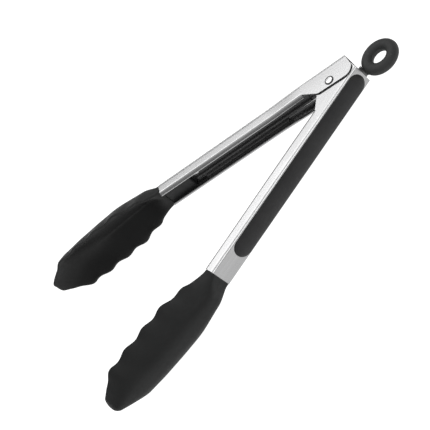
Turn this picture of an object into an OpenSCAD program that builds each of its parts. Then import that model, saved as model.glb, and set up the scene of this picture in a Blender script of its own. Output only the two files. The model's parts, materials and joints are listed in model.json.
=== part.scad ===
// Spring loaded kitchen tongs: two steel channel arms on one rivet, soft grip pads,
// scalloped scoop heads, a torsion spring, and a pull ring on a sliding lock plate.
// Millimetres. The hole axis of the ring is Z and passes through the origin; the tips point to +X.

/* [Arms] */
// Half of the angle between the arms at rest, degrees
open_half = 17.72; // [14:0.1:19]
// Length of a steel arm from the rivet to its head end
arm_len = 130; // [115:1:145]
// Sheet thickness of the arms
sheet = 0.8; // [0.6:0.05:0.9]
// Depth of the back surface beyond the rivet, at the ring end
back_ring_end = 11.9; // [11.6:0.1:12.2]
// Depth of the back surface beyond the rivet, at the head end
back_head_end = 7.3; // [7:0.1:7.6]
// Chamfer between back and side wall
bevel = 0.8; // [0.6:0.1:1.2]

/* [Pivot] */
// Radius of the rivet shank
rivet_r = 2.0; // [1.7:0.1:2.2]
// Radius of the rivet head
rivet_head_r = 2.8; // [2.6:0.1:3.2]
// Radius of the spacer tube on the rivet
tube_r = 2.9; // [2.7:0.1:3.0]
// Wire diameter of the spring
wire_d = 1.4; // [1.2:0.05:1.45]
// Mean radius of the spring coil
coil_r = 4.2; // [4.0:0.1:4.4]

/* [Ring and lock] */
// Radius of the hanging hole
hole_r = 4.8; // [4.2:0.1:5.2]
// Mean radius of the ring body
ring_mean_r = 8.4; // [8.2:0.1:8.8]
// Travel of the lock plate
lock_travel = 9; // [6:0.5:9]

/* [Heads] */
// Depth of one scallop on the rim
scallop = 0.95; // [0:0.05:1]
// Wall thickness of a head at its rim
head_wall = 2.2; // [2.1:0.1:3.0]
// Depth of the valley in the inner face of a head
scoop_depth = 8.6; // [4:0.2:9]

/* [Hidden] */
$fn = 64;
w_in = 8.0;
w_ear = 7.85;
w_out = 8.8;
w_slim = 8.0;
x_end = 14.8;
x_lip = 19.25;
fold_r = 2.3;
ear_d = -4.0;
t = sheet;
pegs = [44, 92];
tongue_pin = arm_len - 9;
span = arm_len + x_end;
back_slope = atan((back_ring_end - back_head_end) / span);
ring_x = -26.4;
ring_d = 15.6;
ring_y = ring_x * sin(open_half) + ring_d * cos(open_half);
ring_xx = ring_x * cos(open_half) - ring_d * sin(open_half);

// depth of the back's outer surface and of the rim fold at a distance x from the rivet
function back_at(x) = back_ring_end - (x + x_end) * tan(back_slope);
function fold_at(x) = 3.95 - (x - x_lip) * 2.85 / (arm_len - x_lip);

// half sections as [depth, across] pairs, from the back to the rim; h shifts the surface inward
function roll(w, f, r) = [for (a = [0:22.5:90]) [f - r * sin(a), w - fold_r + r * cos(a)]];
function channel_half(w, b, f, h) = concat(
    [[b - h, w - bevel - 0.414 * h], [b - bevel - 0.414 * h, w - h]], roll(w, f, fold_r - h));
function ear_half(w, b, h) = [[b - h, w - bevel - 0.414 * h], [b - bevel - 0.414 * h, w - h], [ear_d - 0.6, w - h]];
function rev(v) = [for (i = [len(v) - 1:-1:0]) v[i]];
function both(v) = concat([for (p = rev(v)) [p[0], -p[1]]], v);
// closed loop of a thin wall: its inner line, then its outer line run backwards
function wall_loop(outer, inner) = concat(inner, rev(outer));
function channel(w, x) = wall_loop(both(channel_half(w, back_at(x), fold_at(x), 0)),
    both(channel_half(w, back_at(x), fold_at(x), t)));
function ear(w, x) = wall_loop(both(ear_half(w, back_at(x), 0)), both(ear_half(w, back_at(x), t)));
function station(x, loop) = [for (p = loop) [x, p[0], p[1]]];

// skin a row of equal wall loops into a solid, with its two ends closed across the wall
module loft(loops) {
    n = len(loops[0]);
    m = len(loops);
    pts = [for (l = loops) for (p = l) p];
    e = (m - 1) * n;
    sides = [for (i = [0:m - 2]) for (j = [0:n - 1]) let (k = (j + 1) % n)
        each [[i * n + j, i * n + k, (i + 1) * n + k], [i * n + j, (i + 1) * n + k, (i + 1) * n + j]]];
    ends = [for (j = [0:n / 2 - 2]) let (p = n - 1 - j, q = n - 2 - j)
        each [[j, p, q], [j, q, j + 1], [e + j, e + q, e + p], [e + j, e + j + 1, e + q]]];
    polyhedron(points = pts, faces = concat(sides, ends), convexity = 10);
}

// placing: arm coordinates are x along the arm, y outward from the gap, z across
module place_inner() {
    translate([-ring_xx, -ring_y, 0]) rotate([0, 0, open_half]) children();
}
module place_outer() {
    translate([-ring_xx, -ring_y, 0]) mirror([0, 1, 0]) rotate([0, 0, open_half]) children();
}
// coordinates that follow the sloping back: y = 0 is the outer surface of the back
module on_back() {
    translate([-x_end, back_ring_end, 0]) rotate([0, 0, -back_slope]) children();
}

// side view of the ears: leaning end, large round corner, straight front edge, slanted step
module ear_profile() {
    polygon([[-13.2, back_ring_end + 1], [-15.6, 2.0], [-9.6, 2.0], [-9.6, ear_d],
        [9.2, ear_d], [18.9, 2.6], [x_lip + 0.4, 2.6], [x_lip + 0.4, back_ring_end + 1]]);
    translate([-9.6, 2.0]) intersection() {
        circle(r = 6);
        translate([-6, -6]) square([6.01, 6.01]);
    }
}

module arm_shell(w_side, w_main) {
    w_mid = (w_side + w_main) / 2;
    difference() {
        union() {
            intersection() {
                loft([station(-x_end - 1.2, ear(w_side, -x_end - 1.2)), station(15, ear(w_side, 15)),
                    station(x_lip + 0.02, ear(w_mid, x_lip + 0.02))]);
                translate([0, 0, -12]) linear_extrude(height = 24) ear_profile();
            }
            loft([station(x_lip, channel(w_mid, x_lip)), station(30, channel(w_main, 30)),
                station(arm_len, channel(w_main, arm_len))]);
        }
        translate([0, 0, -12]) cylinder(r = rivet_r + 0.04, h = 24);
        on_back() translate([tongue_pin, 1, 0]) rotate([90, 0, 0]) cylinder(r = 1.55, h = 5);
        for (x = pegs) on_back() translate([x, 1, 0]) rotate([90, 0, 0]) cylinder(r = 1.85, h = 5);
    }
}

module outer_arm() {
    color("silver") place_outer() arm_shell(w_out, w_slim);
}

module inner_arm() {
    color("silver") place_inner() arm_shell(w_ear, w_in);
}

// shank through both pairs of ears with a low domed head on each side
module pivot_rivet() {
    top = w_out + 0.02;
    color("gainsboro") place_inner() {
        translate([0, 0, -top - 0.01]) cylinder(r = rivet_r, h = 2 * top + 0.02);
        for (s = [0, 1]) mirror([0, 0, s]) translate([0, 0, top]) rotate_extrude()
            polygon([[0, 0], [rivet_head_r, 0], [rivet_head_r, 0.22], [rivet_head_r - 0.35, 0.42], [0, 0.5]]);
    }
}

// plain tube on the shank that keeps the ears apart and carries the coil
module spacer_tube() {
    color("dimgray") place_inner() difference() {
        translate([0, 0, -w_ear + t + 0.03]) cylinder(r = tube_r, h = 2 * (w_ear - t - 0.03));
        translate([0, 0, -w_in]) cylinder(r = rivet_r + 0.04, h = 2 * w_in);
    }
}

// wire leg: it leaves the coil, bends, and runs forward to its seat on the channel floor
module spring_leg(z) {
    translate([0.6, coil_r, z]) rotate([0, 0, 24.4]) rotate([0, 90, 0]) cylinder(d = wire_d, h = 9.3);
    translate([0.6 + 9.3 * cos(24.4), coil_r + 9.3 * sin(24.4), z]) {
        sphere(d = wire_d);
        rotate([0, 0, 1.4]) rotate([0, 90, 0]) cylinder(d = wire_d, h = 27);
    }
}

module torsion_spring() {
    pitch = wire_d - 0.03;
    turns = 8;
    zz = pitch * (turns - 1) / 2;
    color("lightgray") {
        translate([-ring_xx, -ring_y, 0]) for (i = [0:turns - 1]) translate([0, 0, -zz + i * pitch])
            rotate_extrude() translate([coil_r, 0]) circle(d = wire_d);
        place_inner() spring_leg(zz);
        place_outer() spring_leg(-zz);
    }
}

// folded plate under the back of the inner arm: two cheeks slotted round the spacer tube
module cheek() {
    difference() {
        polygon([[11, -1.2], [28.6, -1.2], [28.6, -11.6], [23.4, -14.9], [11, -14.9]]);
        rotate(back_slope) translate([x_end, -back_ring_end]) rotate(-back_slope) {
            for (k = [0:1]) translate([k * lock_travel, 0]) circle(r = tube_r + 0.15);
            translate([0, -tube_r - 0.15]) square([lock_travel, 2 * tube_r + 0.3]);
        }
    }
}
module lock_plate() {
    color("lightsteelblue") place_inner() on_back() difference() {
        union() {
            translate([-1.0, -t - 0.85, -4.2]) cube([29.6, 0.7, 8.4]);
            translate([1.2, -t - 0.85, -5.2]) cube([27.4, 0.7, 10.4]);
            translate([-4.4, -t - 0.85, -2.2]) cube([4, 0.7, 4.4]);
            translate([11, -t - 0.85, -6.6]) cube([17.6, 0.7, 13.2]);
            translate([-1.0, -t - 0.85, -4.2]) cube([0.7, 1.75, 8.4]);
            for (z = [-6.6, 5.9]) translate([0, 0, z]) linear_extrude(height = 0.7) cheek();
        }
        translate([-3.0, 1, 0]) rotate([90, 0, 0]) cylinder(r = 0.9, h = 6);
    }
}

// soft ring with flattened faces; a short straight land lines its hole
module pull_ring() {
    tube = ring_mean_r - hole_r + 0.15;
    color("#3c3c3c") difference() {
        intersection() {
            rotate_extrude($fn = 96) translate([ring_mean_r, 0]) circle(r = tube);
            translate([0, 0, -3.15]) cylinder(r = 20, h = 6.3);
        }
        translate([0, 0, -5]) cylinder(r = hole_r, h = 10);
        place_inner() on_back() difference() {
            union() {
                translate([-4.4, -t - 0.85, -2.2]) cube([6, 0.7, 4.4]);
                translate([-1.0, -t - 0.85, -4.2]) cube([1.0, 1.75, 8.4]);
            }
            translate([-3.0, 1, 0]) rotate([90, 0, 0]) cylinder(r = 0.9, h = 6);
        }
    }
}

// stadium outline of the pads, drawn along the back
module stadium(x0, x1, r) {
    translate([x0 + r, 0]) circle(r = r);
    translate([x1 - r, 0]) circle(r = r);
    translate([x0 + r, -r]) square([x1 - x0 - 2 * r, 2 * r]);
}
module grip_pad() {
    dome = 14.4;
    on_back() difference() {
        intersection() {
            rotate([-90, 0, 0]) translate([0, 0, 0.01]) linear_extrude(height = 4) stadium(3.0, arm_len - 1.3, 6.65);
            translate([0, 2.2 - dome, 0]) rotate([0, 90, 0]) cylinder(r = dome, h = 140, $fn = 128);
        }
        for (x = pegs) translate([x, 1.2, 0]) rotate([90, 0, 0]) cylinder(r = 1.8, h = 5);
    }
}
module grip_pad_inner() {
    color("#343434") place_inner() grip_pad();
}
module grip_pad_outer() {
    color("#343434") place_outer() grip_pad();
}

// hard carrier inside the channel: floor strip, two rails, and pegs up into the pad
module grip_liner() {
    on_back() {
        translate([34, -t - 1.32, -4.0]) cube([arm_len - 46, 1.3, 8.0]);
        for (s = [-3.9, 2.5]) {
            translate([34, -t - 3.0, s]) cube([arm_len - 46, 1.8, 1.4]);
            translate([34, -t - 3.0, s]) cube([arm_len - 41.5, 1.65, 1.4]);
        }
        for (x = pegs) translate([x, 1.15, 0]) rotate([90, 0, 0]) cylinder(r = 1.8, h = 2.4);
    }
}
module grip_liner_inner() {
    color("#1c1c1c") place_inner() grip_liner();
}
module grip_liner_outer() {
    color("#1c1c1c") place_outer() grip_liner();
}

// head shape along its length s, measured from the steel end
function ease(a, b, s) = let (k = max(0, min(1, (s - a) / (b - a)))) k * k * (3 - 2 * k);
function tip_w(s) = sqrt(max(0.05, 1 - pow(max(0, s - 88) / 9.6, 2)));
function head_w(s) = tip_w(s) * (8.4 + 3.5 * ease(1, 17, s) + 5.1 * ease(8, 36, s) - 0.6 * ease(62, 80, s)
    - 9.1 * ease(76, 95, s));
function wave(s) = scallop * cos((s - 17) * 360 / 15.65) * ease(9, 17, s) * (1 - ease(80, 90, s));
function head_top(s) = back_head_end + 0.3 + 5.8 * ease(0, 14, s) - 12.7 * pow(max(0, s - 12) / 72, 1.7)
    - 1.2 * pow(max(0, s - 86) / 10.9, 2);
function head_rim(s) = 1.2 - 0.159 * s;
function head_pow(s) = 2.6 + 0.25 * (1 - s / 97) + 13 * pow(1 - min(1, s / 20), 3.5);
function scoop(s) = ease(1, 17, s) * (1 - ease(80, 92, s));
// depth and sharpness of the inner face: two flanks that meet in a valley, rounder near the tip
function valley(s) = 0.12 + scoop_depth * ease(1, 15, s) * (1 - ease(68, 94, s));
function valley_pow(s) = 1.12 + 0.9 * ease(42, 70, s);
// one arched curve: w half width, v the scallop at its rim, top and rim depths, p its squareness
function arch(p, w, v, top, rim, n) = [for (i = [-n:n]) let (q = sin(90 * i / n))
    [rim + (top - rim) * (1 - pow(abs(q), p)), w * q + v * sign(q) * pow(abs(q), 8)]];
function skin_loop(s, n) = wall_loop(arch(head_pow(s), head_w(s), wave(s), head_top(s), head_rim(s), n),
    arch(valley_pow(s), max(0.3, head_w(s) - head_wall), wave(s), head_rim(s) + valley(s), head_rim(s), n));
// the core is a thin shell that keeps a distance o below the skin's outer surface
function core_loop(s, n) = let (o = 1.0, th = 0.9, rim = head_rim(s) + 1.4, top = head_top(s) - o,
    deep = max(rim + 0.12, rim + (top - th - rim) * scoop(s)))
    wall_loop(arch(head_pow(s), head_w(s) - o, wave(s), top, rim, n),
        arch(head_pow(s), head_w(s) - o - th, wave(s), deep, rim, n));
module core_body() {
    loft([for (i = [0:18]) let (s = 7 + 71 * i / 18) station(arm_len + s, core_loop(s, 8))]);
    translate([arm_len + 0.5, 2.1, -5.2]) cube([8.5, 4.6, 10.4]);
}
module head_core() {
    core_body();
    difference() {
        union() {
            translate([0, 0, -6.8]) linear_extrude(height = 13.6) polygon([[arm_len + 0.6, 2.0],
                [arm_len - 19, 2.6], [arm_len - 19.6, 6.6], [arm_len + 0.6, 6.0]]);
            on_back() translate([arm_len - 11.6, -t - 1.3, -6.2]) cube([10, 1.25, 12.4]);
        }
        on_back() translate([tongue_pin, 1, 0]) rotate([90, 0, 0]) cylinder(r = 1.5, h = 6.5);
    }
}
module head_skin() {
    difference() {
        loft([for (i = [0:44]) let (s = 0.05 + 96.85 * i / 44) station(arm_len + s, skin_loop(s, 12))]);
        core_body();
        translate([arm_len - 1, 1.9, -6.8]) cube([1.6, 4.2, 13.6]);
    }
}
module head_core_inner() {
    color("#222222") place_inner() head_core();
}
module head_core_outer() {
    color("#222222") place_outer() head_core();
}
module head_skin_inner() {
    color("#2c2c2c") place_inner() head_skin();
}
module head_skin_outer() {
    color("#2c2c2c") place_outer() head_skin();
}

// short rivet that pins the tongue of a head core to the steel, under the end of the pad
module head_rivet() {
    on_back() translate([tongue_pin, -0.02, 0]) rotate([90, 0, 0]) {
        cylinder(r = 1.5, h = 2.2);
        translate([0, 0, t + 1.3]) cylinder(r = 2.1, h = 0.5);
    }
}
module head_rivet_inner() {
    color("gainsboro") place_inner() head_rivet();
}
module head_rivet_outer() {
    color("gainsboro") place_outer() head_rivet();
}

outer_arm();
inner_arm();
pivot_rivet();
spacer_tube();
torsion_spring();
lock_plate();
pull_ring();
grip_pad_inner();
grip_pad_outer();
grip_liner_inner();
grip_liner_outer();
head_core_inner();
head_core_outer();
head_skin_inner();
head_skin_outer();
head_rivet_inner();
head_rivet_outer();
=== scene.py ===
import json
import math

import bmesh
import bpy
from mathutils import Euler, Matrix, Vector


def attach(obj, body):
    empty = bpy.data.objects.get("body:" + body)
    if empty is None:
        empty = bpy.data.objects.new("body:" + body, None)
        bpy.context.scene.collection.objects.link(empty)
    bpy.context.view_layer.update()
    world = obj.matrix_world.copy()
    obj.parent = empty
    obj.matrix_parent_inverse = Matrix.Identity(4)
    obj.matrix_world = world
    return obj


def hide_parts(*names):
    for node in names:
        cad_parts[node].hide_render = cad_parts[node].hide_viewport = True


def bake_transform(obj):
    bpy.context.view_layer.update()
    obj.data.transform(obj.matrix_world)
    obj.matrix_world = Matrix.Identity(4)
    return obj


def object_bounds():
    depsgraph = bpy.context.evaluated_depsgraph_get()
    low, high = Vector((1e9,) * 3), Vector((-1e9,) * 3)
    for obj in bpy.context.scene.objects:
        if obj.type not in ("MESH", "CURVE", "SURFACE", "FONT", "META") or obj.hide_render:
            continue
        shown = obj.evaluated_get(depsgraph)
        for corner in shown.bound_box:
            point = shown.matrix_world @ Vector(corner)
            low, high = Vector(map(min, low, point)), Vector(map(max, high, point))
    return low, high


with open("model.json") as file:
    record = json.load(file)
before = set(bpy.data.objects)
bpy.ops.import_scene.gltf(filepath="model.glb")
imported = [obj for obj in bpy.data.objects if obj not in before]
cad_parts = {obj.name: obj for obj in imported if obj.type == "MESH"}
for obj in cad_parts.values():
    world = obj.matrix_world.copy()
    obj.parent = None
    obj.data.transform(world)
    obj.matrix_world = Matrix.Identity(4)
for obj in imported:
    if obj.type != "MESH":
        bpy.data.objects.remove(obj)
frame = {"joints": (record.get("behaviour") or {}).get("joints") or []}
cad_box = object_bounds()
MM = 0.001
pivot = next(j for j in frame["joints"] if j["name"] == "arm_pivot")["pos_m"]
PX, PY = pivot[0] / MM, pivot[1] / MM

# ---------------------------------------------------------------- the tongs' own dimensions, mm
# half of the angle between the open arms
HALF_DEG = 17.72
HALF = math.radians(HALF_DEG)
# along an arm from the rivet: the head end of the steel, the ring end, and the start of the rolled lips
ARM_LEN, X_END, X_LIP = 130.0, 14.8, 19.25
SHEET = 0.8
# how far the sloping back lies outside the rivet's line, at the ring end and at the head end
BACK_RING, BACK_HEAD = 11.9, 7.3
BETA = math.atan((BACK_RING - BACK_HEAD) / (ARM_LEN + X_END))
# the flat strip between back and side, and the fine groove that marks its fold: (distance, depth) points
BEVEL = 0.8
GROOVE = [(0.36, 0.0), (0.52, 0.07), (0.62, 0.07), (0.78, 0.0)]
GROOVE_MID = 0.57
# radius of the rolled lips, and where they start to roll at X_LIP and how much lower at the head end
LIP_R, LIP_START, LIP_DROP = 2.3, 3.95, 2.85
# the lower edge of the ears
EAR_D = -4.0
# half widths of the inner channel, the inner ears, the outer ears and the outer channel
W_IN, W_EAR, W_OUT, W_SLIM = 8.0, 7.85, 8.8, 8.0
# where the width of an arm has settled behind its ears
X_SETTLED = 46
INNER, OUTER = 1, -1
BODY = {INNER: "inner_half", OUTER: "outer_half"}
NAME = {INNER: "inner", OUTER: "outer"}
LOCK = "lock"


def arm(side, x, d, z):
    """A point in arm coordinates (along the arm, outward from the gap, across) in the row frame."""
    c, s = math.cos(HALF), math.sin(HALF)
    return (PX + x * c - d * s, PY + side * (x * s + d * c), z)


def back(side, u, v, z):
    """A point u along an arm's sloping back, v out of it and z across it, in the row frame."""
    c, s = math.cos(BETA), math.sin(BETA)
    return arm(side, -X_END + u * c + v * s, BACK_RING - u * s + v * c, z)


def at_pivot(a, b, h):
    return (PX + a, PY + b, h)


def back_at(x):
    return BACK_RING - (x + X_END) * math.tan(BETA)


def lip_at(x):
    return LIP_START - (x - X_LIP) * LIP_DROP / (ARM_LEN - X_LIP)


def ease(a, b, s):
    """Rises smoothly from 0 to 1 while s goes from a to b."""
    k = max(0.0, min(1.0, (s - a) / (b - a)))
    return k * k * (3 - 2 * k)


def lerp(a, b, k):
    return a + (b - a) * k


def between(a, b, k):
    """The point a share k of the way from a to b."""
    return tuple(lerp(p, q, k) for p, q in zip(a, b))


# ---------------------------------------------------------------- mesh helpers
def to_mesh(name, verts, faces):
    """An object from points in mm, cleaned of doubles."""
    mesh = bpy.data.meshes.new(name)
    mesh.from_pydata([Vector(v) * MM for v in verts], [], faces)
    obj = bpy.data.objects.new(name, mesh)
    bpy.context.scene.collection.objects.link(obj)
    bm = bmesh.new()
    bm.from_mesh(mesh)
    bmesh.ops.remove_doubles(bm, verts=bm.verts, dist=2e-6)
    bmesh.ops.dissolve_degenerate(bm, edges=bm.edges, dist=1e-6)
    bmesh.ops.recalc_face_normals(bm, faces=bm.faces)
    bm.to_mesh(mesh)
    bm.free()
    return obj


def bake_modifiers(obj):
    """Applies every modifier to the mesh."""
    graph = bpy.context.evaluated_depsgraph_get()
    graph.update()
    new = bpy.data.meshes.new_from_object(obj.evaluated_get(graph))
    old = obj.data
    obj.modifiers.clear()
    obj.data = new
    bpy.data.meshes.remove(old)


def boolean(obj, other, operation):
    """Cuts, joins or intersects obj with other, which is used up."""
    m = obj.modifiers.new("b", "BOOLEAN")
    m.operation = operation
    m.solver = "EXACT"
    m.object = other
    bake_modifiers(obj)
    bpy.data.objects.remove(other)


def soften(obj, width=0, segments=2, sharp=40):
    """Rounds the edges a little, so that they catch the light, and smooths what is curved."""
    if width:
        m = obj.modifiers.new("round", "BEVEL")
        m.width = width * MM
        m.segments = segments
        m.limit_method = "ANGLE"
        m.angle_limit = math.radians(40)
        bake_modifiers(obj)
    bm = bmesh.new()
    bm.from_mesh(obj.data)
    for f in bm.faces:
        f.smooth = True
    for e in bm.edges:
        e.smooth = not (len(e.link_faces) == 2 and e.calc_face_angle(0) > math.radians(sharp))
    bm.to_mesh(obj.data)
    bm.free()
    m = obj.modifiers.new("normals", "WEIGHTED_NORMAL")
    m.keep_sharp = True
    m.weight = 80
    return obj


def skin_rows(rows, closed=True, caps="none"):
    """Points and faces between equal rows of points.

    caps: none, fan for one polygon at each end, or wall for the ends of a folded sheet's section.
    """
    verts = [p for row in rows for p in row]
    n, faces = len(rows[0]), []
    for i in range(len(rows) - 1):
        for j in range(n if closed else n - 1):
            k = (j + 1) % n
            faces.append((i * n + j, i * n + k, (i + 1) * n + k, (i + 1) * n + j))
    for base in (0, (len(rows) - 1) * n):
        if caps == "fan":
            faces.append(tuple(base + j for j in range(n)))
        if caps == "wall":
            faces += [(base + j, base + j + 1, base + n - 2 - j, base + n - 1 - j) for j in range(n // 2 - 1)]
    return verts, faces


def prism(name, outline, levels, place):
    """A closed outline of (a, b) points, repeated at two levels. place takes (a, b, level)."""
    rows = [[place(a, b, level) for a, b in outline] for level in levels]
    return to_mesh(name, *skin_rows(rows, caps="fan"))


def lathe(name, profile, place, segments=96):
    """Turns (radius, height) points about an axis. place takes (a, b, height)."""
    rows = []
    for i in range(segments):
        a = 2 * math.pi * i / segments
        rows.append([place(r * math.cos(a), r * math.sin(a), h) for r, h in profile])
    rows.append(rows[0])
    return to_mesh(name, *skin_rows(rows))


def both_ends(upper):
    """A lathe profile from its upper half, which is mirrored about the middle plane."""
    return [(r, -h) for r, h in reversed(upper)] + upper


def arc(cx, cy, r, a0, a1, n):
    angles = [math.radians(lerp(a0, a1, i / n)) for i in range(n + 1)]
    return [(cx + r * math.cos(a), cy + r * math.sin(a)) for a in angles]


def bent(start, corner, end, n):
    """Points of the curve that leaves start towards the corner and arrives at end."""
    shares = [j / n for j in range(n + 1)]
    return [tuple(start * (1 - t) ** 2 + corner * 2 * t * (1 - t) + end * t ** 2) for t in shares]


def rounded(points, radius, n=5):
    """Rounds the corners of a closed outline of (x, y, radius share) points."""
    out = []
    m = len(points)
    for i, (x, y, k) in enumerate(points):
        p, a, b = Vector((x, y)), Vector(points[i - 1][:2]), Vector(points[(i + 1) % m][:2])
        r = radius * k
        if r <= 0:
            out.append((x, y))
            continue
        ua, ub = (a - p).normalized(), (b - p).normalized()
        half = ua.angle(ub) / 2
        cut = min(r / math.tan(half), 0.49 * (a - p).length, 0.49 * (b - p).length)
        out += bent(p + ua * cut, p, p + ub * cut, n)
    return out


def mirrored(right):
    """A closed outline from its right half of (x, y, radius share) points."""
    left = [(-x, y, k) for x, y, k in reversed(right)]
    return left[-1:] + right + left[:-1]


# ---------------------------------------------------------------- materials
def nodes_of(name):
    mat = bpy.data.materials.new(name)
    mat.use_nodes = True
    nt = mat.node_tree
    return mat, nt, nt.nodes["Principled BSDF"]


def link(nt, a, b):
    nt.links.new(a, b)


def coords(nt, turn=0.0, scale=(1, 1, 1)):
    """Object coordinates turned to lie along an arm, then stretched."""
    tc = nt.nodes.new("ShaderNodeTexCoord")
    turned = nt.nodes.new("ShaderNodeMapping")
    turned.inputs["Rotation"].default_value = (0, 0, turn)
    link(nt, tc.outputs["Object"], turned.inputs["Vector"])
    scaled = nt.nodes.new("ShaderNodeMapping")
    scaled.inputs["Scale"].default_value = scale
    link(nt, turned.outputs["Vector"], scaled.inputs["Vector"])
    return scaled.outputs["Vector"]


def noise(nt, vector, scale, detail=3.0, rough=0.5):
    n = nt.nodes.new("ShaderNodeTexNoise")
    n.inputs["Scale"].default_value = scale
    n.inputs["Detail"].default_value = detail
    n.inputs["Roughness"].default_value = rough
    link(nt, vector, n.inputs["Vector"])
    return n.outputs["Fac"]


def spread(nt, value, a, b, lo=0.3, hi=0.7):
    """Maps a value from lo..hi to a..b."""
    m = nt.nodes.new("ShaderNodeMapRange")
    m.inputs["From Min"].default_value = lo
    m.inputs["From Max"].default_value = hi
    m.inputs["To Min"].default_value = a
    m.inputs["To Max"].default_value = b
    link(nt, value, m.inputs["Value"])
    return m.outputs["Result"]


def tint(nt, fac, a, b):
    """Runs from colour a to colour b as fac rises."""
    r = nt.nodes.new("ShaderNodeValToRGB")
    r.color_ramp.elements[0].position = 0.0
    r.color_ramp.elements[1].position = 1.0
    r.color_ramp.elements[0].color = (*a, 1)
    r.color_ramp.elements[1].color = (*b, 1)
    link(nt, fac, r.inputs["Fac"])
    return r.outputs["Color"]


def bump(nt, height, strength, distance, normal=None):
    b = nt.nodes.new("ShaderNodeBump")
    b.inputs["Strength"].default_value = strength
    b.inputs["Distance"].default_value = distance
    link(nt, height, b.inputs["Height"])
    if normal is not None:
        link(nt, normal, b.inputs["Normal"])
    return b.outputs["Normal"]


def worn_edge(nt, lo, hi):
    """A value that rises on convex edges."""
    g = nt.nodes.new("ShaderNodeNewGeometry")
    return spread(nt, g.outputs["Pointiness"], 0.0, 1.0, lo, hi)


def toward(nt, fac, base, colour):
    """Mixes one plain colour into a base."""
    m = nt.nodes.new("ShaderNodeMix")
    m.data_type = "RGBA"
    link(nt, fac, m.inputs["Factor"])
    link(nt, base, m.inputs[6])
    m.inputs[7].default_value = (*colour, 1)
    return m.outputs[2]


def steel(name, turn, shade, rough, grain=1.0, metal=0.92):
    """Brushed stainless sheet: long fine grain, a few deeper hairlines and soft cloudy patches."""
    mat, nt, p = nodes_of(name)
    fine = noise(nt, coords(nt, turn, (30, 2200, 2200)), 1.0, 4.0, 0.6)
    hair = noise(nt, coords(nt, turn, (9, 620, 620)), 1.0, 2.0, 0.5)
    cloud = noise(nt, coords(nt, turn, (25, 90, 90)), 1.0, 3.0, 0.5)
    mixed = nt.nodes.new("ShaderNodeMath")
    mixed.operation = "MULTIPLY_ADD"
    link(nt, fine, mixed.inputs[0])
    mixed.inputs[1].default_value = 0.5
    link(nt, spread(nt, hair, 0.0, 0.5), mixed.inputs[2])
    dark = tuple(shade * k for k in (0.91, 0.91, 0.915))
    light = tuple(shade * k for k in (1.07, 1.07, 1.075))
    link(nt, tint(nt, mixed.outputs[0], dark, light), p.inputs["Base Color"])
    p.inputs["Metallic"].default_value = metal
    p.inputs["Anisotropic"].default_value = 0.3
    link(nt, spread(nt, cloud, rough - 0.02, rough + 0.03), p.inputs["Roughness"])
    n = bump(nt, fine, 0.04 * grain, 0.00001)
    link(nt, bump(nt, hair, 0.05 * grain, 0.00001, n), p.inputs["Normal"])
    return mat


def moulded(name, dark, light, rough, pebble_mm, relief, worn, specular):
    """Moulded rubber or plastic: fine pebble texture, cloudy tone and gloss, edges rubbed a little paler."""
    mat, nt, p = nodes_of(name)
    v = coords(nt)
    cloud = noise(nt, v, 55, 4.0, 0.55)
    patch = noise(nt, v, 420, 3.0, 0.5)
    pebble = noise(nt, v, 1000 / pebble_mm, 2.0, 0.5)
    base = tint(nt, spread(nt, cloud, 0.0, 1.0), dark, light)
    rub = worn_edge(nt, 0.53, 0.66)
    rubbed = nt.nodes.new("ShaderNodeMath")
    rubbed.operation = "MULTIPLY"
    link(nt, rub, rubbed.inputs[0])
    rubbed.inputs[1].default_value = worn
    pale = tuple(min(1.0, c * 2.2 + 0.01) for c in light)
    link(nt, toward(nt, rubbed.outputs[0], base, pale), p.inputs["Base Color"])
    link(nt, spread(nt, patch, rough - 0.06, rough + 0.06), p.inputs["Roughness"])
    p.inputs["Specular IOR Level"].default_value = specular
    n = bump(nt, patch, 0.12, 0.0001)
    link(nt, bump(nt, pebble, relief, 0.00003, n), p.inputs["Normal"])
    return mat


STEEL = {}
for side in (INNER, OUTER):
    STEEL[side] = steel("brushed_arm_" + NAME[side], -side * HALF, 0.37, 0.23, grain=1.4)
# Darker steel for cut sheet edges and the rims of the rivet heads: partly the duller cut itself, partly
# painted shade for the dark line of shadow and dark reflection along the ears' edges and round the rivets.
SHEARED_AND_SHADED = steel("sheared_edge_painted_shade", 0.0, 0.09, 0.45)
# Paler, half-metal steel on the lips' edges and in the fold groove: a painted highlight for the light line
# along the lip edges, and painted shade for the thin dark line along the fold.
PAINTED_LIP_GROOVE_STEEL = steel("lip_highlight_and_groove_shade", 0.0, 0.7, 0.4, metal=0.5)
# Much darker steel for the lock plate and the spacer tube: painted shade for the shadowed end flange at the
# ring end.
SHADED_LOCK_STEEL = steel("lock_steel_painted_shade", -HALF, 0.12, 0.4)
STEEL_RIVET = steel("polished_rivet", 0.4, 0.5, 0.2, grain=0.6)
STEEL_WIRE = steel("drawn_wire", 0.0, 0.9, 0.12, grain=0.3, metal=1.0)
PAD = moulded("pad_rubber", (0.022, 0.022, 0.0225), (0.028, 0.028, 0.0285), rough=0.62,
              pebble_mm=0.4, relief=0.25, worn=0.4, specular=0.2)
RING = moulded("ring_rubber", (0.028, 0.029, 0.029), (0.036, 0.037, 0.037), rough=0.6,
               pebble_mm=0.45, relief=0.25, worn=0.3, specular=0.25)
HEAD = moulded("head_rubber", (0.0145, 0.015, 0.015), (0.0185, 0.019, 0.019), rough=0.58,
               pebble_mm=0.3, relief=0.15, worn=0.5, specular=0.18)
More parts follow.
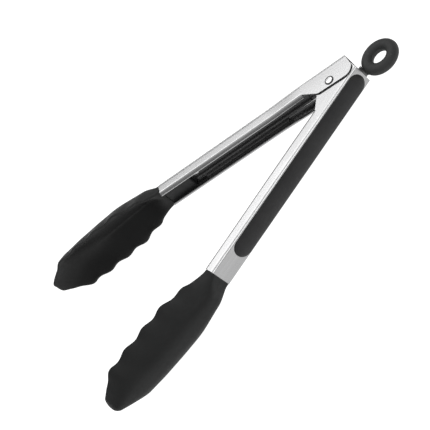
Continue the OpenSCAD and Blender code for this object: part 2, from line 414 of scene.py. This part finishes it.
# Darker copy of the head rubber for the heads' hollow inner faces: painted shade for the hollow that the rim
# shadows.
GRIP_PAINTED_SHADE = moulded("head_gripping_face_painted_shade", (0.0065, 0.0067, 0.0067), (0.009, 0.0092, 0.0092), rough=0.5,
               pebble_mm=0.3, relief=0.12, worn=0.3, specular=0.2)
CORE = moulded("core_nylon", (0.016, 0.0165, 0.0168), (0.022, 0.0225, 0.023), rough=0.5,
               pebble_mm=0.25, relief=0.2, worn=0.4, specular=0.2)
LINER = moulded("liner_nylon", (0.058, 0.058, 0.0585), (0.076, 0.076, 0.0765), rough=0.42,
                pebble_mm=0.25, relief=0.2, worn=0.5, specular=0.5)


def settle(obj, body, mat, slot, *stands_for):
    """Gives a finished piece its material and its body, and hides the CAD nodes that it replaces. The slot is
    not used.
    """
    obj.data.materials.clear()
    obj.data.materials.append(mat)
    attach(obj, body)
    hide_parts(*stands_for)
    return obj


# ---------------------------------------------------------------- steel arms
def half_line(w, b, f, h, ears):
    """Half of a channel's section from the middle of the back to its edge, moved inward by h.

    w is the half width, b the depth of the back and f the depth where the lip starts to roll.
    """
    wall, tail = w - h, b - BEVEL - 1.6
    turn = 0.28 if h == 0 else 0.14
    groove = GROOVE if h == 0 else [(k, h) for k in (0.6, 0.66, 0.72, 0.78)]
    pts = [(b - h, 0.0), (b - h, w * 0.45)]
    chain = [(b - h, w * 0.5), (b - h, w - BEVEL - 0.414 * h), (b - BEVEL - 0.414 * h, wall), (tail, wall)]
    chain = [Vector(p) for p in chain]
    for a, p, c in zip(chain, chain[1:], chain[2:]):
        pts += bent(p + (a - p).normalized() * turn, p, p + (c - p).normalized() * turn, 3)
    pts += [(b - BEVEL - k, w - deep) for k, deep in groove]
    if ears:
        return pts + [(tail, wall), (EAR_D - 0.6, wall)]
    pts.append((tail - 0.3, wall))
    r = LIP_R - h
    for k in range(13):
        a = math.radians(90 * k / 12)
        pts.append((f - r * math.sin(a), w - LIP_R + r * math.cos(a)))
    return pts


def section(w, x, ears):
    """A channel's whole section: its inner face, then its outer face in reverse."""
    b, f = back_at(x), lip_at(x)

    def whole(half):
        return [(d, -z) for d, z in reversed(half[1:])] + half
    return whole(half_line(w, b, f, SHEET, ears)) + list(reversed(whole(half_line(w, b, f, 0, ears))))


def arm_piece(side, w_side, w_main):
    """A folded channel with rolled lips, joined to its ears, which are cut to their side view."""
    def rows(stations, ears):
        return [[arm(side, x, d, z) for d, z in section(w, x, ears)] for x, w in stations]

    ear_end = X_LIP + 0.4
    stations = [(x, w_side) for x in (-X_END - 1.2, -5, X_LIP + 0.02)]
    ear = to_mesh("ear", *skin_rows(rows(stations, True), caps="wall"))
    outline = [(-13.2, BACK_RING + 1), (-15.6, 2.0)] + arc(-9.6, 2.0, 6, 180, 270, 16)[1:]
    outline += arc(8.75, EAR_D + 1.0, 1.0, -90, -57, 4)
    outline += [(18.9, 2.6), (ear_end, 2.6), (ear_end, BACK_RING + 1)]
    cut = prism("cut", outline, (-12, 12), lambda x, d, z: arm(side, x, d, z))
    boolean(ear, cut, "INTERSECT")
    tapered = (X_LIP, 22, 25, 28, 31, 34, 37, 40, 43, X_SETTLED)
    stations = [(x, lerp(w_side, w_main, ease(X_LIP, X_SETTLED, x))) for x in tapered]
    stations += [(x, w_main) for x in (70, 90, 110, ARM_LEN)]
    channel = to_mesh("arm_" + NAME[side], *skin_rows(rows(stations, False), caps="wall"))
    boolean(channel, ear, "UNION")
    return soften(channel, 0.08)


def mark_cut_edges(obj, side):
    """Gives the cut edges a darker steel, partly their duller cut and partly painted shade for the shadow
    gaps beside them, and the lips' edges and the fold grooves a paler one that paints a highlight along the
    lips and a shade line in the groove.
    """
    obj.data.materials.append(SHEARED_AND_SHADED)
    obj.data.materials.append(PAINTED_LIP_GROOVE_STEEL)
    c, s = math.cos(HALF), math.sin(HALF)
    for f in obj.data.polygons:
        x, y, z = f.center.x / MM - PX, (f.center.y / MM - PY) * side, abs(f.center.z) / MM
        u, d = x * c + y * s, y * c - x * s
        along, across = f.normal.x * c + f.normal.y * side * s, abs(f.normal.z)
        on_ear = u < X_LIP + 0.6
        if on_ear:
            dark_edge_face = along < -0.6 or (across < 0.6 and d < back_at(u) - 1.0)
        else:
            dark_edge_face = abs(along) > 0.7
        # cut-edge faces take the darker steel: painted shade for the shadow line along the ears' edges
        if dark_edge_face:
            f.material_index = 1
        # the fold's groove and the lips' upward edges take the paler steel: painted shade line in the groove,
        # painted highlight on the lips
        in_groove = abs(d - back_at(u) + BEVEL + GROOVE_MID) < 0.03 and across > 0.9 and z > W_EAR - 0.2
        at_lip = z < W_SLIM - LIP_R + 0.5 and d < lip_at(u) - LIP_R + SHEET + 0.1
        if in_groove or (at_lip and across > 0.8 and u > X_LIP + 0.6):
            f.material_index = 2


for side, w_side, w_main, node in ((INNER, W_EAR, W_IN, "inner_arm"), (OUTER, W_OUT, W_SLIM, "outer_arm")):
    piece = settle(arm_piece(side, w_side, w_main), BODY[side], STEEL[side], "arm_steel", node)
    mark_cut_edges(piece, side)


# ---------------------------------------------------------------- pivot
def rivet_piece():
    """A rivet whose shank ends in two low heads, each with a rolled edge and a flat crown."""
    top, r, shank = W_OUT + 0.02, 2.95, 2.0
    upper = [(shank, top), (r - 0.12, top), (r, top + 0.1), (r, top + 0.2), (r - 0.12, top + 0.36),
             (r - 0.42, top + 0.46), (r - 0.9, top + 0.5), (0.0, top + 0.5)]
    return soften(lathe("rivet_pivot", both_ends(upper), at_pivot), sharp=50)


def tube_piece():
    """The tube on the rivet between the inner ears, its ends broken."""
    top, bore, outer, broken = W_EAR - SHEET - 0.03, 2.04, 2.9, 0.15
    upper = [(outer, top - broken), (2.75, top), (2.2, top), (bore, top - broken)]
    return soften(lathe("spacer_tube_turned", both_ends(upper), at_pivot), sharp=50)


rivet = settle(rivet_piece(), BODY[INNER], STEEL_RIVET, "rivet_steel", "pivot_rivet")
# the rim of each rivet head takes the darker edge steel: painted shade for the dark ring of contact shadow
# and dark reflection round the head
rivet.data.materials.append(SHEARED_AND_SHADED)
DARK_RIM = 2.25 * MM
for f in rivet.data.polygons:
    if math.hypot(f.center.x - PX * MM, f.center.y - PY * MM) > DARK_RIM:
        f.material_index = 1

# the spacer tube takes the same darkened steel, with its painted shade
settle(tube_piece(), BODY[INNER], SHADED_LOCK_STEEL, "rivet_steel", "spacer_tube")

# ---------------------------------------------------------------- torsion spring
# radius of the coil, half its height, whole turns and points to a turn
COIL_R, COIL_Z, TURNS, STEPS = 4.2, 4.795, 6, 40
WIRE_R = 0.7


def wire(name, path, radius, ring=14):
    """A round wire along a path of points, its ends closed with small domes."""
    pts = [Vector(p) for p in path]
    last = len(pts) - 1
    angles = [2 * math.pi * k / ring for k in range(ring)]
    rows = []
    side = (pts[1] - pts[0]).normalized().orthogonal().normalized()
    for i, p in enumerate(pts):
        t = (pts[min(i + 1, last)] - pts[max(i - 1, 0)]).normalized()
        side = (side - t * side.dot(t)).normalized()
        up = t.cross(side)
        row = [tuple(p + (side * math.cos(a) + up * math.sin(a)) * radius) for a in angles]
        sign = -1 if i == 0 else 1
        dome = [tuple(p + sign * t * radius * 0.35 + (Vector(q) - p) * 0.7) for q in row]
        if i == 0:
            rows.append(dome)
        rows.append(row)
        if i == last:
            rows.append(dome)
    return to_mesh(name, *skin_rows(rows, caps="fan"))


def smooth_path(points, times):
    """Rounds the bends of a path by cutting its corners."""
    for _ in range(times):
        out = [points[0]]
        for a, b in zip(points, points[1:]):
            out += [between(a, b, 0.25), between(a, b, 0.75)]
        points = out + [points[-1]]
    return points


def leg_path(side, z):
    """A leg from its tip in the channel, round its bend and onto the coil."""
    climb, run = math.radians(24.4), 9.3
    bend = (0.6 + run * math.cos(climb), COIL_R + run * math.sin(climb))
    tip = (36.0, bend[1] + 27 * math.sin(math.radians(1.4)))
    foot = (1.4, COIL_R + 0.25)
    flat = [tip, between(tip, bend, 0.93), bend, between(bend, foot, 0.12),
            (2.4, COIL_R + 0.72), (1.2, COIL_R + 0.12), (0.0, COIL_R)]
    return [arm(side, x, d, z) for x, d in smooth_path(flat, 2)]


def coil_path():
    """The winding, from the inner leg's side of the rivet down to the outer leg's."""
    first, final = 90 + HALF_DEG, 270 - HALF_DEG + 360 * TURNS
    count = TURNS * STEPS + 16
    helix = []
    for i in range(count + 1):
        k = i / count
        a = math.radians(lerp(first, final, k))
        helix.append((PX + COIL_R * math.cos(a), PY + COIL_R * math.sin(a), lerp(COIL_Z, -COIL_Z, k)))
    return helix


path = leg_path(INNER, COIL_Z)[:-1] + coil_path() + list(reversed(leg_path(OUTER, -COIL_Z)))[1:]
spring = soften(wire("spring_wound", path, WIRE_R), sharp=60)
spring.data.materials.append(STEEL_WIRE)
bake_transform(spring)
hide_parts("torsion_spring")


# ---------------------------------------------------------------- lock plate and pull ring
def lock_piece():
    """Plate under the inner arm's back, with a tab for the ring, an end flange and two slotted cheeks."""
    def place(u, v, z):
        return back(INNER, u, v, z)

    bottom, top = -SHEET - 0.85, -SHEET - 0.15
    wide, waist, tail, tab, thick = 6.6, 5.2, 4.2, 2.2, 0.7
    edge = [(-1.0, tail, 0), (1.0, tail, 1), (1.6, waist, 1), (10.4, waist, 1), (11, wide, 1),
            (28.6, wide, 1)]
    plan = [(u, -z, k) for u, z, k in edge] + edge[::-1]
    plan += [(-1.0, tab, 0.6), (-4.4, tab, 1), (-4.4, -tab, 1), (-1.0, -tab, 0.6)]
    plate = prism("lock_plate_folded", rounded(plan, 0.6), (bottom, top), lambda u, z, v: place(u, v, z))
    flange = rounded([(-tail, bottom, 0), (tail, bottom, 0), (tail, 0.05, 1), (-tail, 0.05, 1)], 0.8)
    flange = prism("flange", flange, (-1.0, -0.3), lambda z, v, u: place(u, v, z))
    boolean(plate, flange, "UNION")

    # the slots leave the rivet and its tube free over the lock's travel
    c, s = math.cos(BETA), math.sin(BETA)
    rivet_u, rivet_v = c * X_END + s * BACK_RING, s * X_END - c * BACK_RING
    travel, slot_r = 9, 3.05
    side_view = [(11, -1.2, 0), (28.6, -1.2, 0), (28.6, -11.6, 1), (23.4, -14.9, 1), (11, -14.9, 1)]
    side_view = rounded(side_view, 0.8)
    slot = arc(rivet_u, rivet_v, slot_r, 90, 270, 24) + arc(rivet_u + travel, rivet_v, slot_r, -90, 90, 24)
    for z in (-wide, 5.9):
        cheek = prism("cheek", side_view, (z, z + thick), place)
        boolean(cheek, prism("slot", slot, (z - 1, z + thick + 1), place), "DIFFERENCE")
        boolean(plate, cheek, "UNION")

    hole = arc(-3.0, 0, 0.9, 0, 345, 23)
    hole = prism("hole", hole, (bottom - 1, top + 1), lambda u, z, v: place(u, v, z))
    boolean(plate, hole, "DIFFERENCE")
    return soften(plate, 0.08)


def ring_piece():
    """Soft ring: round section with eased flats, a short land in its hole and a fine mould line outside."""
    mean, tube_r, flat, hole, squareness = 8.4, 3.72, 3.15, 4.8, 2.15
    prof = []
    for k in range(72):
        a = 2 * math.pi * k / 72
        c, q = math.cos(a), math.sin(a)
        h = math.copysign(flat * abs(q) ** (2 / squareness), q)
        r = max(mean + math.copysign(tube_r * abs(c) ** (2 / squareness), c), hole)
        if c > 0.9:
            r += 0.05 * math.exp(-(h / 0.15) ** 2)
        prof.append((r, h))
    return soften(lathe("ring_moulded", prof, lambda a, b, h: (a, b, h), 160), sharp=60)


# the lock plate takes the darkened steel: painted shade for its shadowed end flange
settle(lock_piece(), LOCK, SHADED_LOCK_STEEL, "lock_steel", "lock_plate")
settle(ring_piece(), LOCK, RING, "ring_rubber", "pull_ring")


# ---------------------------------------------------------------- grip pads
def pad_piece(side):
    """Soft inlay: a low dome along the back that runs down to rounded ends inside a stadium outline."""
    u0, u1, r = 3.0, ARM_LEN - 1.3, 6.65
    crown, dome_r, turn_in = 2.2, 14.4, 0.8
    a, b = u0 + r, u1 - r
    turns = [math.pi * i / 36 for i in range(1, 36)]
    outline = [(lerp(a, b, i / 60), r) for i in range(61)]
    outline += [(b + r * math.sin(t), r * math.cos(t)) for t in turns]
    outline += [(lerp(b, a, i / 60), -r) for i in range(61)]
    outline += [(a - r * math.sin(t), -r * math.cos(t)) for t in turns]

    def height(u, z, edge):
        """Height of the pad, edge mm inside its outline: the dome, or the rounded lip where that is lower."""
        dome = crown - (dome_r - math.sqrt(dome_r ** 2 - z ** 2))
        end = max(0.0, abs(u - (u0 + u1) / 2) - ((u1 - u0) / 2 - r)) / r
        dome -= 1.15 * end ** 2.2 * (1 - 0.3 * (z / r) ** 2)
        turn = math.sqrt(max(0.0, 1 - (1 - min(1.0, edge / turn_in)) ** 2))
        lip = 0.2 + 0.75 * turn + 1.2 * max(0.0, edge - turn_in)
        return max(0.18, min(dome, lip) - 0.12 * math.exp(-((dome - lip) / 0.18) ** 2))

    rings = []
    # from the pad's middle line out to its edge, closer together where it turns down
    shares = (0.0, 0.1, 0.2, 0.3, 0.4, 0.5, 0.6, 0.68, 0.75, 0.81, 0.86, 0.9, 0.93, 0.955, 0.975, 0.99, 1.0)
    for k in shares:
        inset = [(lerp(min(max(u, a), b), u, k), z * k) for u, z in outline]
        rings.append([back(side, u, height(u, z, r * (1 - k)), z) for u, z in inset])
    rings.append([back(side, u, 0.01, z) for u, z in outline])
    verts, faces = skin_rows(rings)
    n = len(outline)
    faces.append(tuple((len(rings) - 1) * n + j for j in range(n)))
    return soften(to_mesh("pad_" + NAME[side], verts, faces), sharp=55)


# ---------------------------------------------------------------- liners inside the channels
def liner_piece(side):
    """Hard carrier on the channel floor: a narrow strip with two rails and a wide middle stretch."""
    floor_v = -SHEET - 0.05
    wall = (W_IN if side == INNER else W_SLIM) - SHEET - 0.12
    strip = [(4.0, floor_v, 0), (4.0, -2.12, 0.5), (3.9, -2.12, 0), (3.9, -3.8, 1), (2.5, -3.8, 1),
             (2.5, -2.12, 0.3)]
    tray = [(wall - 0.75, floor_v, 0), (wall, floor_v - 0.9, 0), (wall, -3.7, 1), (wall - 0.9, -3.7, 1),
            (wall - 1.1, -1.7, 1)]

    def place(z, v, u):
        return back(side, u, v, z)
    liner = prism("liner_" + NAME[side], rounded(mirrored(strip), 0.25, 3), (34, ARM_LEN - 7.5), place)
    wide = prism("wide", rounded(mirrored(tray), 0.3, 3), (53.5, ARM_LEN - 12.6), place)
    boolean(liner, wide, "UNION")
    return soften(liner, 0.08)


# ---------------------------------------------------------------- scoop heads
# all of these take s, the distance from the end of the steel
HEAD_END = 97.2
# depth, length and first crest of the scallops along the rim
SCALLOP, PITCH, CREST = 0.95, 15.65, 17
# stretch over which the nose is rounded off, and the wall that the gripping face leaves at the rim
NOSE, HEAD_WALL = 2.8, 1.9


def head_w(s):
    """Half the width of the head, without its scallops."""
    tip = math.sqrt(max(0.03, 1 - (max(0.0, s - 88) / 9.6) ** 2))
    neck = 8.4 + 3.5 * ease(1, 17, s) + 5.1 * ease(8, 36, s)
    return tip * (neck - 0.6 * ease(62, 80, s) - 9.1 * ease(76, 95, s))


def wave(s):
    """How far a scallop pushes the rim outward."""
    crest = math.cos(math.radians((s - CREST) * 360 / PITCH))
    return SCALLOP * crest * ease(9, 17, s) * (1 - ease(80, 90, s))


def head_top(s):
    """Depth of the head's back."""
    shoulder = BACK_HEAD + 0.3 + 5.8 * ease(0, 14, s)
    return shoulder - 12.7 * (max(0.0, s - 12) / 72) ** 1.7 - 1.2 * (max(0.0, s - 86) / 10.9) ** 2


def head_rim(s):
    """Depth of the head's rim."""
    return 1.2 - 0.159 * s


def head_pow(s):
    """Squareness of the head's back, highest where it leaves the channel."""
    return 2.6 + 0.25 * (1 - s / 97) + 13 * (1 - min(1.0, s / 20)) ** 3.5


def valley(s):
    """How deep the gripping face lies behind the rim."""
    return 0.12 + 8.6 * ease(1, 15, s) * (1 - ease(68, 94, s))


def valley_pow(s):
    """Near 1 the two flanks of the gripping face meet in a crease, and further on they are rounder."""
    return 1.12 + 0.9 * ease(42, 70, s)


def head_section(s, n=34):
    """Closed section of a head: the creased inner face, a rounded rim, then the smooth domed outer face."""
    nose = max(0.0, (s - (HEAD_END - NOSE)) / NOSE)
    shrink = math.sqrt(max(0.0, 1 - min(1.0, nose) ** 2))
    w, v, top, rim = head_w(s), wave(s), head_top(s), head_rim(s)
    mid = rim + 0.5 * (top - rim)
    k = 0.25 + 0.75 * shrink
    top, rim = mid + (top - mid) * k, mid + (rim - mid) * k
    w *= 0.35 + 0.65 * shrink
    wi = max(0.2, w - HEAD_WALL)
    deep = rim + valley(s)
    lip = min(0.8, 0.25 * w + 0.1, (top - rim) * 0.2)
    soft, power = 0.02, valley_pow(s)
    full = (1 + soft ** 2) ** (power / 2) - soft ** power
    outer, inner = [], []
    for i in range(-n, n + 1):
        q = math.sin(math.radians(90 * i / n))
        flare = v * math.copysign(abs(q) ** 8, q)
        d = rim + (top - rim) * (1 - abs(q) ** head_pow(s))
        gap = max(0.0, lip - (d - rim)) / lip
        outer.append((d, w * q + flare - math.copysign(0.32 * lip * gap ** 2, q)))
        crease = (abs(q) ** 2 + soft ** 2) ** (power / 2) - soft ** power
        d = rim + (deep - rim) * (1 - crease / full)
        gap = max(0.0, lip - (d - rim)) / lip
        inner.append((min(d, top - 0.4), wi * q + flare + math.copysign(0.5 * lip * gap ** 2, q)))
    return inner + list(reversed(outer))


def head_piece(side):
    """The head's sections from the steel to the nose, closer together over the last stretch."""
    even, last = 130, 6.65
    stations = [0.05 + (HEAD_END - 6.7) * i / even for i in range(even + 1)]
    stations += [HEAD_END - last + last * math.sin(math.radians(90 * i / 26)) for i in range(1, 27)]
    rows = [[arm(side, ARM_LEN + s, d, z) for d, z in head_section(s)] for s in stations]
    return soften(to_mesh("head_" + NAME[side], *skin_rows(rows, caps="wall")), sharp=70)


def tongue_piece(side):
    """Hard tongue of the head, seen inside the channel, with a foot under the arm's back."""
    start, end, half_w = ARM_LEN - 19.6, ARM_LEN + 2.5, 6.7
    side_view = [(end, 1.7), (ARM_LEN - 19, 2.6), (start, 3.2), (start, 6.5), (end, 5.9)]
    tongue = prism("tongue_" + NAME[side], side_view, (-half_w, half_w), lambda x, d, z: arm(side, x, d, z))
    u0, u1, v0, v1 = ARM_LEN - 11.6, ARM_LEN - 1.6, -SHEET - 1.3, -SHEET - 0.05
    block = [(u0, v0), (u1, v0), (u1, v1), (u0, v1)]
    foot = prism("foot", block, (-6.0, 6.0), lambda u, v, z: back(side, u, v, z))
    boolean(tongue, foot, "UNION")
    return soften(tongue, 0.35, 3)


def head_rivet_piece(side):
    """Rivet through the arm's back and the tongue's foot, with its formed head inside the channel."""
    u, r, head_r = ARM_LEN - 9, 1.5, 2.1
    prof = [(0.0, 0.02), (1.35, 0.02), (r, -0.1), (r, -2.12), (2.0, -2.12), (head_r, -2.22), (head_r, -2.45),
            (1.9, -2.6), (0.0, -2.62)]
    name = "head_rivet_turned_" + NAME[side]
    return soften(lathe(name, prof, lambda a, b, h: back(side, u + a, h - 0.02, b), 48), sharp=50)


for side in (INNER, OUTER):
    tag, body = NAME[side], BODY[side]
    settle(pad_piece(side), body, PAD, "pad_rubber", "grip_pad_" + tag)
    settle(liner_piece(side), body, LINER, "liner_plastic", "grip_liner_" + tag)
    head = settle(head_piece(side), body, HEAD, "head_rubber", "head_skin_" + tag)
    head.data.materials.append(GRIP_PAINTED_SHADE)
    # faces turned into the gap take the darker copy: painted shade in the head's hollow
    for f in head.data.polygons:
        if f.normal.y * side * math.cos(HALF) - f.normal.x * math.sin(HALF) < -0.12:
            f.material_index = 1
    settle(tongue_piece(side), body, CORE, "core_plastic", "head_core_" + tag)
    settle(head_rivet_piece(side), body, STEEL_RIVET, "rivet_steel", "head_rivet_" + tag)


# ---------------------------------------------------------------- floor, light and camera
def pale_floor():
    mat, nt, p = nodes_of("pale_floor")
    cloud = noise(nt, coords(nt), 9, 3.0, 0.5)
    link(nt, tint(nt, cloud, (0.28, 0.28, 0.28), (0.31, 0.31, 0.31)), p.inputs["Base Color"])
    p.inputs["Roughness"].default_value = 0.9
    p.inputs["Specular IOR Level"].default_value = 0.1
    p.inputs["Emission Color"].default_value = (1, 1, 1, 1)
    p.inputs["Emission Strength"].default_value = 1.02
    return mat


# the floor lies just under the tongs and reaches 30 m each way
FLOOR_Z = cad_box[0].z / MM - 0.4
REACH = (-30000, 30000)
floor = to_mesh("floor", *skin_rows([[(x, y, FLOOR_Z) for y in REACH] for x in REACH], closed=False))
floor.data.materials.append(pale_floor())

MIDDLE = Vector((0.12, 0, 0))


def area(name, place, power, size_x, size_y):
    """A soft light in metres and watts, aimed at the middle of the tongs."""
    data = bpy.data.lights.new(name, "AREA")
    data.shape = "RECTANGLE"
    data.size = size_x
    data.size_y = size_y
    data.energy = power
    obj = bpy.data.objects.new(name, data)
    bpy.context.scene.collection.objects.link(obj)
    obj.location = place
    obj.rotation_euler = (MIDDLE - Vector(place)).to_track_quat("-Z", "Y").to_euler()


area("softbox", (0.1, -0.95, 1.195), 8.6, 1.3, 0.7)
area("overhead", (0.12, 0.05, 1.2), 2.4, 1.2, 1.2)
area("front", (-0.22, 0.78, 0.92), 2.6, 0.75, 0.4)

world = bpy.data.worlds.new("studio")
bpy.context.scene.world = world
world.use_nodes = True
world.node_tree.nodes["Background"].inputs["Color"].default_value = (1, 1, 1, 1)
world.node_tree.nodes["Background"].inputs["Strength"].default_value = 0.36

camera_data = bpy.data.cameras.new("camera")
camera_data.lens = 101.61
camera_data.sensor_width = 36
camera = bpy.data.objects.new("camera", camera_data)
bpy.context.scene.collection.objects.link(camera)
turn = Euler([math.radians(a) for a in (35.1987, 37.9694, 152.2156)])
camera.matrix_world = Matrix.Translation((0.006437, 0.534524, 0.465953)) @ turn.to_matrix().to_4x4()
bpy.context.scene.camera = camera
bpy.context.scene.view_settings.view_transform = "Standard"
bpy.context.scene.view_settings.look = "None"
